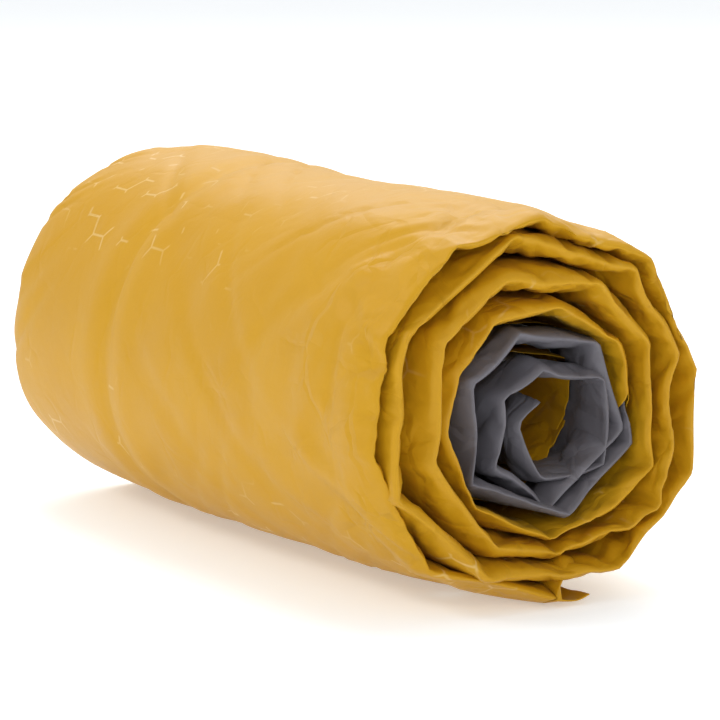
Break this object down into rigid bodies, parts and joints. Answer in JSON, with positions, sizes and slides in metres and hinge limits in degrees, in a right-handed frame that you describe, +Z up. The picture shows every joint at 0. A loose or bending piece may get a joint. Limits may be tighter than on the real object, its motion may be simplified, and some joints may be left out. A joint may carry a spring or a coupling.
{
  "type": "inflatable sleeping pad",
  "caption": "Inflatable camping sleeping pad, deflated, folded in half lengthwise and rolled up for carrying, with a flat twin-lid air valve.",
  "frame": {"origin": "on the ground, under the middle of the roll", "axes": "+X along the roll towards the folded end; +Z up; +Y towards the side where the pad's head end comes out from under the roll"},
  "size_m": [0.2801, 0.1335, 0.1365],
  "materials": {
    "top_fabric": "mustard yellow coated nylon with a faint sheen",
    "bottom_fabric": "slate grey coated nylon, satin",
    "insulation": "white fibre batting",
    "baffle_film": "thin clear film, matt",
    "valve_plastic": "moulded dark grey plastic, satin",
    "collar_plastic": "moulded black plastic, fine texture",
    "valve_patch_film": "welded film ring, satin",
    "silicone": "soft silicone"
  },
  "bodies": {
    "roll": {"top_sheet": "top_fabric", "bottom_sheet": "bottom_fabric", "insulation_layer": "insulation", "baffle_outer_half_1": "baffle_film", "baffle_outer_half_2": "baffle_film", "baffle_outer_half_3": "baffle_film", "baffle_outer_half_4": "baffle_film", "baffle_inner_half_1": "baffle_film", "baffle_inner_half_2": "baffle_film", "baffle_inner_half_3": "baffle_film", "baffle_inner_half_4": "baffle_film", "foot_end_hem": "top_fabric", "valve_base": "valve_plastic", "valve_patch": "valve_patch_film"},
    "head_end": {"head_end_hem": "top_fabric"},
    "collar": {"deflate_collar": "collar_plastic", "collar_seal": "silicone"},
    "flap": {"one_way_flap": "silicone"},
    "cap": {"inflation_cap": "collar_plastic", "cap_seal": "silicone"}
  },
  "joints": [
    {"name": "head_end_lift", "type": "hinge", "parent": "roll", "child": "head_end", "pos_m": [0, 0.00851, 0.0017], "axis": [1, 0, 0], "range_deg": [-45, 40]},
    {"name": "collar_hinge", "type": "hinge", "parent": "roll", "child": "collar", "pos_m": [-0.1218, 0.05499, 0.10955], "axis": [0, -0.5988, 0.8009], "range_deg": [0, 130]},
    {"name": "cap_hinge", "type": "hinge", "parent": "collar", "child": "cap", "pos_m": [-0.083, 0.05916, 0.11266], "axis": [0, 0.5988, -0.8009], "range_deg": [0, 165]},
    {"name": "flap_travel", "type": "slide", "parent": "collar", "child": "flap", "axis": [0, -0.8009, -0.5988], "range_m": [0, 0.0009], "stiffness_N_per_m": 30}
  ]
}
